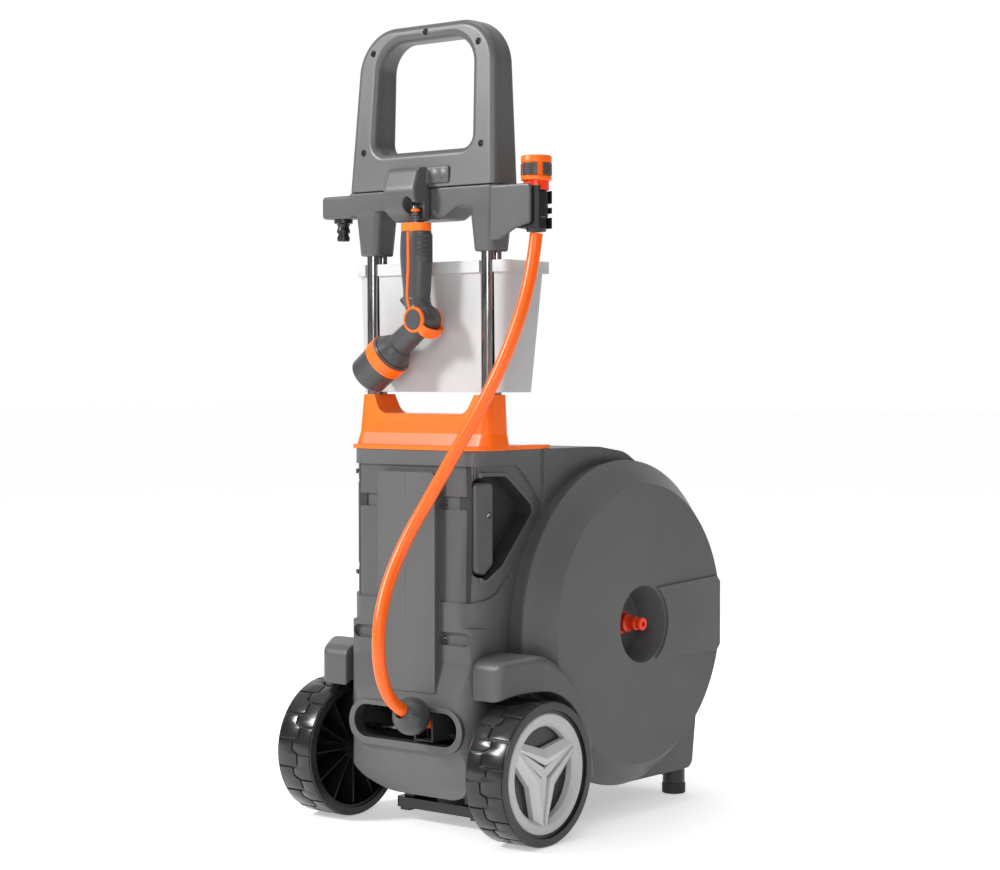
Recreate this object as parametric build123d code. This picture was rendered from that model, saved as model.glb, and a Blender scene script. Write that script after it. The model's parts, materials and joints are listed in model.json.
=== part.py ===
"""Hose reel cart: a two-wheeled garden hose trolley with an enclosed self-winding reel.

Millimetres, +Z up, +X to the right seen from the hose slot at the front (-Y).
Everything is laid out from the wheel axle, and the finished pieces are shifted
along Y so that the origin is the middle of the footprint, on the floor.
"""
import math
import os

from build123d import *

# ---- driving dimensions -------------------------------------------------
WALL = 3.0

WHEEL_R = 88.0
WHEEL_IN, WHEEL_OUT = 127.0, 185.0
RIM_R = 77.0
AXLE_R = 5.0
AXLE_HALF = 175.4
RUNNING_GAP = 0.05

COLUMN_HALF = 105.0
COLUMN_FRONT = -40.0
COLUMN_TOP = 476.0
BULGE_FRONT = -49.0
BODY_BOTTOM = 41.0
WAIST_STEP = 4.0

DRUM_Y, DRUM_Z = 235.0, 247.0
DRUM_R = 208.0
DRUM_HALF = 122.0
COVER_R = 211.0
COVER_FACE_R = 181.0
COVER_FACE = 157.0
RECESS_R = 50.0
RECESS_FLOOR = 119.0
DECK_HALF = 108.0
DECK_TOP = 476.0
SKIRT_BOTTOM = 34.0
SKIRT_HALF = 118.0
WELL_R = 100.0
WELL_IN = 110.0

FENDER_OUT = 173.0

FOOT_X = 102.0

SLOT_HALF, SLOT_LOW, SLOT_HIGH = 84.0, 115.0, 156.0
BEZEL_EDGE = 9.0
BEZEL_FRONT = -52.0

FRONT_TUBE = (94.0, -4.0, 8.0)
REAR_TUBE = (94.0, 14.0, 5.75)
TUBE_BOTTOM = 458.0
TUBE_TOP = 775.0

SOCKET_TOP = 544.0
SADDLE = 520.0
SEAM_Z = 800.0
HANDLE_HALF = 120.0
HANDLE_TOP = 1004.0
HANDLE_FRONT, HANDLE_BACK = -24.0, 26.0
HANDLE_ROUND = 9.0
YOKE_BELLY = 760.0
LEG_BOTTOM = 719.0

BIN_RIM_TOP = 708.3
BIN_BOTTOM = 547.0

GUN_X, GUN_Y = 7.0, -38.0
PIVOT = (19.0, 636.0)
BARREL_START = (20.0, 634.0)
BARREL_DROP = 36.0

REEL_R = 184.0
REEL_HALF = 100.0
PACK_R = 150.0
CORE_R = 60.0

POCKET_DEPTH = 26.0

GUIDE_X = 26.0
HOSE_R = 8.0
BALL_R = 23.5
CONNECTOR_X, CONNECTOR_Y = 164.5, 2.0

# Route of the free hose, from the guide in the slot to the parked connector.
HOSE_ROUTE = [
    (31.0, -51.0, 144.0),
    (34.0, -104.0, 163.0),
    (43.0, -143.0, 203.0),
    (44.0, -150.0, 260.0),
    (37.0, -128.0, 312.0),
    (43.0, -100.0, 368.0),
    (70.0, -82.0, 424.0),
    (104.0, -72.0, 482.0),
    (141.0, -57.0, 549.0),
    (161.0, -32.0, 622.0),
    (163.0, -4.0, 692.0),
    (164.5, 2.0, 738.0),
]

FRONT_EDGE = -WHEEL_R
BACK_EDGE = DRUM_Y + COVER_R
DEPTH_CENTRE = (FRONT_EDGE + BACK_EDGE) / 2


# ---- small shape helpers ------------------------------------------------
def box(x0, x1, y0, y1, z0, z1):
    middle = Pos((x0 + x1) / 2, (y0 + y1) / 2, (z0 + z1) / 2)
    return middle * Box(x1 - x0, y1 - y0, z1 - z0)


def outline(points, radii):
    return make_face(FilletPolyline(*points, radius=radii, close=True))


def prism_x(face, x0, x1):
    return extrude(Plane.YZ.offset(x0) * face, amount=x1 - x0, dir=(1, 0, 0))


def prism_y(face, y0, y1):
    return extrude(Plane.XZ.offset(-y0) * face, amount=y1 - y0, dir=(0, 1, 0))


def prism_z(face, z0, z1):
    return extrude(Plane.XY.offset(z0) * face, amount=z1 - z0, dir=(0, 0, 1))


def rod_x(radius, x0, x1, y, z):
    return Pos((x0 + x1) / 2, y, z) * Rot(0, 90, 0) * Cylinder(radius, x1 - x0)


def rod_y(radius, y0, y1, x, z):
    return Pos(x, (y0 + y1) / 2, z) * Rot(90, 0, 0) * Cylinder(radius, y1 - y0)


def rod_z(radius, x, y, z0, z1):
    return Pos(x, y, (z0 + z1) / 2) * Cylinder(radius, z1 - z0)


def turned_x(profile, y=0.0, z=0.0):
    """Solid of revolution about X, from (x, radius) points."""
    face = Plane.XZ * make_face(Polyline(*profile, close=True))
    return Pos(0, y, z) * revolve(face, Axis.X)


def turned_z(profile, x=0.0, y=0.0):
    """Solid of revolution about Z, from (radius, z) points."""
    face = Plane.XZ * make_face(Polyline(*profile, close=True))
    return Pos(x, y, 0) * revolve(face, Axis.Z)


def stadium_y(half, z0, z1, y0, y1):
    face = Pos(0, (z0 + z1) / 2) * SlotOverall(2 * half, z1 - z0)
    return prism_y(face, y0, y1)


def flipped(part):
    return mirror(part, about=Plane.YZ)


def merged(parts):
    result = parts[0]
    for part in parts[1:]:
        result = result + part
    return result


# ---- housing ------------------------------------------------------------
def column_upper(inset):
    half = COLUMN_HALF - inset
    depth = 130.0 - COLUMN_FRONT - inset
    plan = Pos(0, COLUMN_FRONT + inset + depth / 2) * Rectangle(2 * half, depth)
    plan = fillet(plan.vertices().group_by(Axis.Y)[0], 25.0 - inset)
    return prism_z(plan, 190.0, COLUMN_TOP - inset)


def column_lower(inset):
    side = outline(
        [(130, BODY_BOTTOM), (-14, BODY_BOTTOM), (-38, 66), (BULGE_FRONT, 120),
         (BULGE_FRONT, 172), (COLUMN_FRONT, 215), (COLUMN_FRONT, 260), (130, 260)],
        [0, 12, 40, 60, 40, 40, 0, 0],
    )
    front = outline(
        [(-COLUMN_HALF, 260), (-COLUMN_HALF, BODY_BOTTOM), (COLUMN_HALF, BODY_BOTTOM), (COLUMN_HALF, 260)],
        [0, 70, 70, 0],
    )
    plan = Pos(0, (130.0 + BULGE_FRONT) / 2) * Rectangle(2 * COLUMN_HALF, 130.0 - BULGE_FRONT)
    plan = fillet(plan.vertices().group_by(Axis.Y)[0], 30.0)
    block = prism_x(offset(side, -inset), -COLUMN_HALF, COLUMN_HALF)
    block = block & prism_y(offset(front, -inset), -80, 140)
    return block & prism_z(offset(plan, -inset), 0, 300)


def deck(inset):
    side = outline(
        [(90, 300), (90, DECK_TOP), (205, DECK_TOP), (262, 468), (318, 438), (352, 380), (352, 300)],
        [0, 0, 70, 60, 60, 0, 0],
    )
    half = DECK_HALF - inset
    return prism_x(offset(side, -inset), -half, half)


def skirt(inset):
    side = outline(
        [(240, SKIRT_BOTTOM), (406, SKIRT_BOTTOM), (418, 123), (424, 180), (380, 250), (240, 250)],
        [0, 14, 80, 0, 0, 0],
    )
    half = SKIRT_HALF - inset
    return prism_x(offset(side, -inset), -half, half)


def wheel_wells(inset):
    well = rod_x(WELL_R + inset, WELL_IN - inset, 200, 0, WHEEL_R)
    return well + flipped(well)


def housing_solid(inset):
    drum = rod_x(DRUM_R - inset, -DRUM_HALF, DRUM_HALF, DRUM_Y, DRUM_Z)
    solid = merged([drum, column_upper(inset), column_lower(inset), deck(inset), skirt(inset)])
    return solid - wheel_wells(inset)


def pocket_face():
    """Outline, in Y and Z, of the grip pocket on each side of the column."""
    return outline(
        [(-33, 445), (20, 444), (76, 402), (12, 334), (-18, 318), (-33, 324)],
        [10, 22, 10, 22, 10, 8],
    )


def pocket_cutter(grow, depth):
    face = offset(pocket_face(), grow)
    return prism_x(face, COLUMN_HALF - depth, 130)


def pocket_lip():
    """Raised edge round the pocket."""
    half = COLUMN_HALF - WAIST_STEP
    lip = prism_x(offset(pocket_face(), 5), half - 1, half + 2)
    return lip & box(0, 200, COLUMN_FRONT + WAIST_STEP + 8, 200, 0, 500)


def waist_cutter():
    """Shallow step that sets the middle of the column back from its collar."""
    zone = outline(
        [(-60, 286), (-2, 298), (60, 352), (98, 398), (60, 440), (40, 457), (-60, 457)],
        [0, 30, 30, 20, 30, 6, 0],
    )
    outside = prism_x(zone, -130, 130)
    half = COLUMN_HALF - WAIST_STEP
    depth = 170.0
    plan = Pos(0, COLUMN_FRONT + WAIST_STEP + depth / 2) * Rectangle(2 * half, depth)
    plan = fillet(plan.vertices().group_by(Axis.Y)[0], 22.0)
    return outside - prism_z(plan, 200, 480)


def centre_band():
    """Raised flat band down the middle of the column front."""
    face = outline([(-47, 178), (-47, 449), (47, 449), (47, 178)], [0, 8, 8, 0])
    band = prism_y(face, BULGE_FRONT, COLUMN_FRONT + WALL + WAIST_STEP)
    return band - housing_solid(WALL)


def rib_grooves():
    grooves = []
    for z in (246, 412):
        for side in (-1, 1):
            face = Pos(side * 70, z) * SlotOverall(50, 16)
            grooves.append(prism_y(face, COLUMN_FRONT - 1, COLUMN_FRONT + WAIST_STEP + 1.5))
    return merged(grooves)


def tube_holes():
    holes = []
    for x, y, radius in (FRONT_TUBE, REAR_TUBE):
        for side in (-1, 1):
            holes.append(rod_z(radius, side * x, y, TUBE_BOTTOM, TUBE_TOP))
    return merged(holes)


def housing_shells():
    shell = housing_solid(0.0) - housing_solid(WALL)
    shell = shell - waist_cutter()
    lining = housing_solid(WALL) - housing_solid(2 * WALL)
    near = box(-130, 130, -60, 105, 232, 465)
    shell = shell + ((lining & near) - tube_holes())
    shell = shell + centre_band() - rib_grooves()
    slot = stadium_y(SLOT_HALF + 5, SLOT_LOW - 5, SLOT_HIGH + 5, -70, -25)
    shell = shell - slot - tube_holes()
    pocket = pocket_cutter(0.0, POCKET_DEPTH)
    liner = (pocket_cutter(WALL, POCKET_DEPTH + WALL) & housing_solid(0.5)) - waist_cutter() + pocket_lip()
    shell = shell + liner + flipped(liner) - tube_holes() - pocket - flipped(pocket)
    axle_hole = rod_x(AXLE_R, -AXLE_HALF, AXLE_HALF, 0, WHEEL_R)
    shell = shell - axle_hole - screw_holes()
    right = shell & box(0, 200, -200, 600, 0, 600)
    left = shell & box(-200, 0, -200, 600, 0, 600)
    return left, right


def grip_bar():
    """Upright bar that fills the front part of the pocket."""
    face = outline([(-31, 328), (-31, 438), (3, 438), (3, 336), (-14, 323)], [8, 8, 8, 8, 6])
    bar = fillet(prism_x(face, 80, 98).faces().sort_by(Axis.X)[-1].edges(), 4)
    return bar - screw_recess()


def screw_recess():
    return rod_x(4, 94, 110, -6, 397)


def slot_bezel():
    outer = stadium_y(SLOT_HALF + BEZEL_EDGE, SLOT_LOW - BEZEL_EDGE, SLOT_HIGH + 6, BEZEL_FRONT, BULGE_FRONT + 1)
    sleeve = stadium_y(SLOT_HALF + 5, SLOT_LOW - 5, SLOT_HIGH + 5, BULGE_FRONT, -36)
    opening = stadium_y(SLOT_HALF, SLOT_LOW, SLOT_HIGH, -70, 0)
    return outer - housing_solid(0.0) + sleeve - opening


def drum_cover_solid(inset):
    face = COVER_FACE - inset
    profile = [
        (DRUM_HALF, 0), (DRUM_HALF, COVER_R - 2 * inset), (DRUM_HALF + 4, COVER_R - inset),
        (face, COVER_FACE_R - inset / 2), (face, 0),
    ]
    dish = [(RECESS_FLOOR - inset, 0), (RECESS_FLOOR - inset, 40 + inset), (face + 20, 55 + inset), (face + 20, 0)]
    solid = turned_x(profile, DRUM_Y, DRUM_Z) - turned_x(dish, DRUM_Y, DRUM_Z)
    return solid - wheel_wells(inset)


def drum_cover():
    shell = drum_cover_solid(0.0) - drum_cover_solid(WALL)
    floor_ring = rod_x(44, RECESS_FLOOR - WALL, DRUM_HALF, DRUM_Y, DRUM_Z)
    floor_ring = floor_ring - turned_x(
        [(RECESS_FLOOR, 0), (RECESS_FLOOR, 40.2), (DRUM_HALF + 1, 41.3), (DRUM_HALF + 1, 0)], DRUM_Y, DRUM_Z)
    bore = rod_x(11.5, 100, 140, DRUM_Y, DRUM_Z)
    plate = outline([(262, 200), (404, 197), (412, 205), (412, 290), (404, 298), (262, 292)], [0, 4, 4, 4, 4, 0])
    panel = prism_x(plate, COVER_FACE - 2, COVER_FACE + 2.5) - rod_x(54.5, 100, 200, DRUM_Y, DRUM_Z)
    panel = panel - drum_cover_solid(WALL)
    return shell + floor_ring - bore + panel


def on_fender_rim(edge):
    """True for the edges where the top of the wheel arch meets its outer side."""
    middle = edge.center()
    ends = [v.Z for v in edge.vertices()]
    return middle.X > COLUMN_HALF + 1 and min(ends) > 120 and middle.Y < 108 and max(ends) - min(ends) < 60


def fender_solid(inset):
    side = outline(
        [(-46, 150), (-46, 223), (8, 231), (52, 208), (84, 174), (106, 130), (112, 70), (80, 60)],
        [0, 16, 46, 46, 46, 40, 0, 0],
    )
    plan = outline([(104, -46), (144, -46), (173, 0), (173, 130), (104, 130)], [0, 14, 34, 0, 0])
    block = prism_x(side, COLUMN_HALF - 1, FENDER_OUT) & prism_z(plan, 0, 300)
    if inset:
        block = prism_x(offset(side, -inset), COLUMN_HALF - 1, FENDER_OUT) & prism_z(offset(plan, -inset), 0, 300)
    block = fillet(block.edges().filter_by(on_fender_rim), 8.0 - inset)
    return block - rod_x(WELL_R - 2 + inset, 90, 200, 0, WHEEL_R)


def fender():
    shell = fender_solid(0.0) - fender_solid(WALL)
    seat = [(DRUM_HALF - 1, 0), (DRUM_HALF - 1, COVER_R), (DRUM_HALF + 1, COVER_R), (DRUM_HALF + 1, 0)]
    shell = shell - housing_solid(0.0) - drum_cover_solid(0.0) - turned_x(seat, DRUM_Y, DRUM_Z)
    return max(shell.solids(), key=lambda s: s.volume)


def bottom_plate():
    plate = box(-68, 68, 8, 190, 18, 31)
    plate = fillet(plate.edges().filter_by(Axis.Z), 6)
    skids = merged([box(x - 7, x + 7, 14, 184, 13, 18) for x in (-58, 58)])
    posts = merged([box(x - 8, x + 8, 14, 60, 31, BODY_BOTTOM) for x in (-50, 50)])
    return plate + skids + posts


def rear_feet():
    """Two posts under the drum and the flat bar between them."""
    posts = [rod_z(15, side * FOOT_X, 386, 14, SKIRT_BOTTOM) for side in (-1, 1)]
    return merged(posts + [box(-FOOT_X, FOOT_X, 376, 396, 24, SKIRT_BOTTOM)])


def rubber_feet():
    feet = []
    for side in (-1, 1):
        foot = rod_z(16, side * FOOT_X, 386, 0, 14)
        feet.append(chamfer(foot.faces().sort_by(Axis.Z)[0].edges(), 1.5))
    return merged(feet)


# ---- screws -------------------------------------------------------------
HANDLE_SCREWS = [(-96, 849), (96, 849), (-86, 974), (86, 974), (0, 994)]
COLUMN_SCREWS = [(-52, 246), (52, 246), (-52, 412), (52, 412)]


def screw_holes():
    return merged([rod_y(4.0, -60, COLUMN_FRONT + 12, x, z) for x, z in COLUMN_SCREWS])


def screw(head_r, shank_r, x, z, y):
    """Pan-head screw along +Y, its head at y."""
    head = rod_y(head_r, y, y + 2.4, x, z)
    head = head - Pos(x, y + 0.5, z) * (Box(4.2, 2, 1.0) + Box(1.0, 2, 4.2))
    return head + rod_y(shank_r, y + 2.4, y + 9, x, z)


def column_screws():
    return merged([screw(3.9, 1.8, x, z, COLUMN_FRONT + 6) for x, z in COLUMN_SCREWS])


def handle_screws():
    return merged([screw(3.9, 1.8, x, z, handle_front_y(z) + 6.0) for x, z in HANDLE_SCREWS])


# ---- orange base and tubes ----------------------------------------------
def base_section(half, y0, y1, corner, z):
    return Pos(0, (y0 + y1) / 2, z) * RectangleRounded(2 * half, y1 - y0, corner)


def handle_base():
    """Orange plinth: flared at the foot, with a tall socket at each end and a saddle between."""
    wall = loft([
        base_section(113, -29, 29, 20, DECK_TOP), base_section(108, -21, 25, 13, 496),
        base_section(105.5, -16, 23.5, 11, SOCKET_TOP)], ruled=True)
    saddle = outline([(-84, 560), (-82, SOCKET_TOP), (-70, SADDLE), (70, SADDLE), (82, SOCKET_TOP), (84, 560)],
                     [0, 0, 18, 18, 0, 0])
    wall = wall - prism_y(saddle, -60, 60)
    hollow = prism_z(Pos(0, 1.5) * RectangleRounded(204, 34, 10), DECK_TOP, 506)
    sockets = merged([rod_z(r + WALL, s * x, y, 481, SOCKET_TOP - 8) for x, y, r in (FRONT_TUBE, REAR_TUBE)
                      for s in (-1, 1)])
    sockets = sockets & base_section_block()
    flange = prism_z(Pos(0, 8) * RectangleRounded(214, 98, 20), COLUMN_TOP, 481)
    strips = [box(84, 106, 40, 104, COLUMN_TOP, 481) - box(80, 110, 89.9, 110, 470, 476.1)]
    strips.append(flipped(strips[0]))
    return merged([wall - hollow + sockets, flange] + strips) - tube_holes()


def base_section_block():
    """Everything that lies within the plinth's top section."""
    return prism_z(Pos(0, 3.75) * RectangleRounded(211, 39.5, 11), 470, SOCKET_TOP)


def tube(spec, side, bore):
    x, y, radius = spec
    return rod_z(radius, side * x, y, TUBE_BOTTOM, TUBE_TOP) - rod_z(bore, side * x, y, TUBE_BOTTOM, TUBE_TOP)


# ---- handle -------------------------------------------------------------
def handle_front_y(z):
    """The front of the loop slopes back a little towards the top."""
    return HANDLE_FRONT + (z - 780.0) * 0.06


def handle_loop(inset):
    """The loop as a solid, its edges rounded, or the space inside its walls."""
    top = HANDLE_TOP - inset
    half, top_half = HANDLE_HALF + 1 - inset, 109.5 - inset
    outer = outline([(-half, 780), (-top_half, top), (top_half, top), (half, 780)], [0, 58 - inset, 58 - inset, 0])
    hole = outline([(-79, 846), (-75, 984), (75, 984), (79, 846)], [16, 36, 36, 16])
    front, front_top = handle_front_y(700) + inset, handle_front_y(1100) + inset
    slab = prism_x(outline([(front, 700), (front_top, 1100), (HANDLE_BACK - inset, 1100),
                            (HANDLE_BACK - inset, 700)], 0.0), -140, 140)
    block = prism_y(outer, -60, 60) - prism_y(offset(hole, inset), -70, 70)
    block = block & slab
    block = fillet(block.edges().filter_by(on_loop_rim), HANDLE_ROUND - inset)
    return block & box(-140, 140, -80, 80, SEAM_Z + inset, 1020)


def on_loop_rim(edge):
    middle = edge.center()
    return middle.Z > 785 and (middle.Y < -3 or middle.Y > 20)


def handle_shells():
    hollow = handle_loop(0.0) - handle_loop(WALL)
    bosses = merged([rod_y(6.5, -30, 30, x, z) for x, z in HANDLE_SCREWS]) & handle_loop(0.0)
    bores = []
    for x, z in HANDLE_SCREWS:
        head = handle_front_y(z) + 8.4
        bores.append(rod_y(4.2, -40, head, x, z) + rod_y(1.9, head - 1, head + 8, x, z))
    ring = hollow + bosses - merged(bores)
    cut = box(-150, 150, -80, 3, 700, 1100)
    return ring & cut, ring - cut


def leg(inset):
    section_top = Pos(94, 3) * RectangleRounded(46 - 2 * inset, 42 - 2 * inset, 12)
    section_low = Pos(94, 3) * RectangleRounded(34 - 2 * inset, 38 - 2 * inset, 12)
    return loft([Pos(0, 0, LEG_BOTTOM + inset) * section_low, Pos(0, 0, 778 + inset) * section_top])


def yoke():
    front = outline(
        [(-HANDLE_HALF, SEAM_Z), (-HANDLE_HALF, 770), (-64, 775), (-38, YOKE_BELLY), (34, YOKE_BELLY),
         (58, 775), (HANDLE_HALF, 770), (HANDLE_HALF, SEAM_Z)],
        [0, 6, 10, 16, 16, 10, 6, 0],
    )
    block = prism_y(front, -20, 26)
    hollow = prism_y(offset(front, -WALL), -17, 23) + box(-117, 117, -17, 23, SEAM_Z - WALL - 1, SEAM_Z)
    left_arm = box(-169, -118, -20, 10, 768, 797)
    left_arm = fillet(left_arm.edges().filter_by(Axis.Y).group_by(Axis.X)[0], 5)
    right_arm = prism_y(
        outline([(112, 797), (174, 797), (174, 750), (150, 744), (126, 731), (112, 731)], [0, 4, 4, 30, 0, 0]),
        -23, -17.5)
    legs = leg(0.0) + flipped(leg(0.0))
    solid = block - hollow + legs + left_arm + right_arm
    return solid - tube_holes() - box(-38, GUN_X + 7, -60, -10, 764, SEAM_Z)


def gun_boss():
    """Hook for the gun: its nipple swings out of an open-fronted pocket."""
    side = outline(
        [(-17, 826), (-40, 824), (-50, 796), (-46, 770), (-28, 758), (-17, 758)],
        [0, 8, 20, 14, 6, 0],
    )
    boss = prism_x(side, -38, 14)
    boss = fillet(boss.edges().filter_by(lambda e: e.center().Y < -20 and abs(e.center().X + 12) > 25), 3)
    pocket = box(GUN_X - 7, GUN_X + 7, -70, GUN_Y + 8, 750, 780)
    mouth = prism_y(Pos(GUN_X - 5, 776) * Rot(0, 0, 20) * Ellipse(8.5, 12), -70, GUN_Y + 8)
    plate = box(14, 49, -25, -19, 804, 825)
    plate = fillet(plate.edges().filter_by(Axis.Y), 2.5)
    pads = merged([rod_y(4.5, -26, -21, x, 814.5) for x in (25, 39)])
    solid = (boss - pocket - mouth + plate + pads) - handle_loop(0.0) - yoke()
    return max(solid.solids(), key=lambda s: s.volume)


def parking_nipple():
    profile = [(0, 768), (12, 768), (12, 763), (8.5, 762), (7.2, 758), (8.6, 754), (8.6, 751),
               (6.9, 750), (6.9, 747), (8.2, 746), (8.2, 742), (7.4, 740), (0, 740)]
    return turned_z(profile, -145, -5)


def hose_clip():
    ring = rod_z(18.8, CONNECTOR_X, CONNECTOR_Y, 744, 789) - rod_z(14.6, CONNECTOR_X, CONNECTOR_Y, 740, 800)
    ring = ring - box(CONNECTOR_X + 6, 200, CONNECTOR_Y - 11, CONNECTOR_Y + 11, 740, 800)
    back = box(150, 183, -17.5, -14, 744, 794)
    neck = box(158, 172, -15, -12, 744, 789) - rod_z(17, CONNECTOR_X, CONNECTOR_Y, 740, 800)
    windows = merged([box(150, 190, -30, 40, z, z + 5) for z in (757, 769)])
    windows = windows & rod_z(30, CONNECTOR_X, CONNECTOR_Y, 740, 800) & box(140, 200, -9, 40, 740, 800)
    return ring - windows + back + neck


# ---- hose, ball stopper and connector -----------------------------------
def hose_radii():
    """Largest arc that fits each corner of the route."""
    points = [Vector(*p) for p in HOSE_ROUTE]
    radii = []
    for before, corner, after in zip(points, points[1:], points[2:]):
        run_in, run_out = corner - before, after - corner
        half_turn = math.radians(run_in.get_angle(run_out)) / 2
        radii.append(0.45 * min(run_in.length, run_out.length) / math.tan(half_turn))
    return radii


def supply_hose():
    path = FilletPolyline(*HOSE_ROUTE, radius=hose_radii())
    start = Plane(origin=path @ 0, z_dir=path % 0)
    section = start * (Circle(HOSE_R) - Circle(6.35))
    hose = sweep(section, path=path)
    expected = math.pi * (HOSE_R ** 2 - 6.35 ** 2) * path.length
    print("hose radii", [round(r) for r in hose_radii()])
    print("hose length", round(path.length, 1), "volume ratio", round(hose.volume / expected, 4))
    return hose


def ball_axis():
    first, second = Vector(*HOSE_ROUTE[0]), Vector(*HOSE_ROUTE[1])
    return Plane(origin=first + (second - first) * 0.472, z_dir=second - first)


def ball_stopper():
    """Two halves clamped on the hose; the straight bore nips the hose where it bends."""
    ball = Rot(0, 0, 45) * Sphere(BALL_R) - Cylinder(HOSE_R + 0.05, 60)
    halves = [ball & Pos(side * 30.2, 0, 0) * Box(60, 60, 60) for side in (-1, 1)]
    return ball_axis() * (halves[0] + halves[1])


def connector_body():
    profile = [(HOSE_R + 0.2, 740), (11.5, 740), (12.5, 744), (12.5, 756), (14.2, 758), (14.2, 788),
               (12, 789), (12, 829), (8.1, 829), (8.1, 806), (5, 804), (5, 760), (HOSE_R + 0.2, 758)]
    return turned_z(profile, CONNECTOR_X, CONNECTOR_Y)


def connector_ring():
    return turned_z([(12, 790), (15.4, 790), (15.4, 803), (12, 803)], CONNECTOR_X, CONNECTOR_Y)


def connector_sleeve():
    profile = [(15.8, 801), (18.4, 801.6), (18.4, 830), (17, 831), (13, 831), (13, 827), (15.8, 826)]
    return turned_z(profile, CONNECTOR_X, CONNECTOR_Y)


# ---- wheels -------------------------------------------------------------
def tyre():
    profile = [(WHEEL_IN, RIM_R), (WHEEL_IN, 84), (WHEEL_IN + 5, WHEEL_R), (WHEEL_OUT - 5, WHEEL_R),
               (WHEEL_OUT, 84), (WHEEL_OUT, RIM_R)]
    ring = turned_x(profile, 0, WHEEL_R)
    grooves = []
    for i in range(16):
        for x0, x1, phase in ((WHEEL_IN - 1, 150, 0), (162, WHEEL_OUT + 1, 11.25)):
            turn = Rot(i * 22.5 + phase, 0, 0)
            grooves.append(Pos(0, 0, WHEEL_R) * turn * box(x0, x1, -2.5, 2.5, 84.5, 95))
    return ring - merged(grooves)


def rim():
    hub = turned_x([(112, AXLE_R + RUNNING_GAP), (112, 14), (174, 14), (174, AXLE_R + RUNNING_GAP)], 0, WHEEL_R)
    web = turned_x([(164, 14), (164, RIM_R), (168, RIM_R), (168, 14)], 0, WHEEL_R)
    flange = turned_x([(WHEEL_IN + 2, RIM_R - 3), (WHEEL_IN + 2, RIM_R), (WHEEL_OUT - 3, RIM_R),
                       (WHEEL_OUT - 3, RIM_R - 3)], 0, WHEEL_R)
    ribs = []
    for i in range(12):
        ribs.append(Pos(0, 0, WHEEL_R) * Rot(i * 30, 0, 0) * box(134, 165, -1.2, 1.2, 13, RIM_R - 1))
    return merged([hub, web, flange] + ribs)


def wheel_trim():
    """Ring and three-armed cover, clipped to the outside of the rim."""
    ring = turned_x([(168, 57), (176, 57), (182, 60), (182, 73.8), (168, 73.8)], 0, WHEEL_R)
    arms = []
    for i in range(3):
        face = outline([(-5, 0), (-12, 30), (-19, 59), (19, 59), (12, 30), (5, 0)], 0.0)
        arms.append(Pos(0, 0, WHEEL_R) * Rot(i * 120 + 180, 0, 0) * prism_x(face, 175.5, 182))
    cap = rod_x(18, 175.5, 183, 0, WHEEL_R)
    return merged([ring, cap] + arms)


def wheel_clips():
    clip = turned_x([(174.3, AXLE_R), (174.3, 9), (175.3, 9), (175.3, AXLE_R)], 0, WHEEL_R)
    return clip + flipped(clip)


# ---- reel ---------------------------------------------------------------
def water_shaft():
    profile = [(-130, 0), (-130, 9), (-116, 9), (-116, 11), (112, 11), (112, 6), (-90, 6), (-90, 0)]
    return turned_x(profile, DRUM_Y, DRUM_Z)


def reel_core():
    barrel = [(-REEL_HALF, CORE_R - 4), (-REEL_HALF, CORE_R), (REEL_HALF, CORE_R), (REEL_HALF, CORE_R - 4)]
    webs = [[(x, 11), (x, CORE_R - 4), (x + 4, CORE_R - 4), (x + 4, 11)] for x in (-REEL_HALF, -4, REEL_HALF - 4)]
    return merged([turned_x(p, DRUM_Y, DRUM_Z) for p in [barrel] + webs])


def reel_flange():
    disc = turned_x([(REEL_HALF, 11), (REEL_HALF, REEL_R), (REEL_HALF + 4, REEL_R), (REEL_HALF + 4, 11)],
                    DRUM_Y, DRUM_Z)
    windows = [Pos(0, DRUM_Y, DRUM_Z) * Rot(i * 60, 0, 0) * rod_x(22, 90, 110, 0, 120) for i in range(6)]
    return disc - merged(windows)


def hose_pack():
    ring = turned_x([(-REEL_HALF, CORE_R), (-REEL_HALF, PACK_R), (REEL_HALF, PACK_R), (REEL_HALF, CORE_R)],
                    DRUM_Y, DRUM_Z)
    return chamfer(ring.edges().filter_by(GeomType.CIRCLE).group_by(SortBy.RADIUS)[-1], 6)


def rewind_spring():
    return turned_x([(-92, 20), (-92, 52), (-68, 52), (-68, 20)], DRUM_Y, DRUM_Z)


def ratchet_ring():
    disc = rod_x(42, -111, -104, DRUM_Y, DRUM_Z) - rod_x(11, -120, -100, DRUM_Y, DRUM_Z)
    teeth = []
    for i in range(12):
        tooth = outline([(-8, 40), (6, 40), (6, 50)], 0.0)
        teeth.append(Pos(0, DRUM_Y, DRUM_Z) * Rot(i * 30, 0, 0) * prism_x(tooth, -111, -104))
    return merged([disc] + teeth)


PAWL_Y, PAWL_Z = DRUM_Y + 46, DRUM_Z + 62


def ratchet_pawl():
    arm = outline([(-34, -2), (-34, 6), (6, 9), (6, -9), (-24, -6)], [1, 2, 6, 6, 1])
    body = prism_x(Pos(PAWL_Y, PAWL_Z) * arm, -110, -105)
    return body - rod_x(4.05, -120, -100, PAWL_Y, PAWL_Z)


def pawl_pin():
    return rod_x(4, -154, -104, PAWL_Y, PAWL_Z)


def hub_cap():
    """Cover over the shaft's far bearing, in the recess on the left."""
    profile = [(-RECESS_FLOOR, 9.1), (-RECESS_FLOOR, 36), (-132, 36), (-136, 32), (-136, 0), (-131, 0), (-131, 9.1)]
    return turned_x(profile, DRUM_Y, DRUM_Z)


def inlet_nipple():
    profile = [(113, 4), (113, 11.4), (119, 11.4), (119, 15), (124, 15), (124, 12), (134, 12), (136, 8.6), (140, 7.4),
               (145, 8.6), (148, 8.6), (149, 7), (152, 7), (153, 8.2), (157, 8.2), (158, 7.2), (158, 4)]
    return turned_x(profile, DRUM_Y, DRUM_Z)


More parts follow.
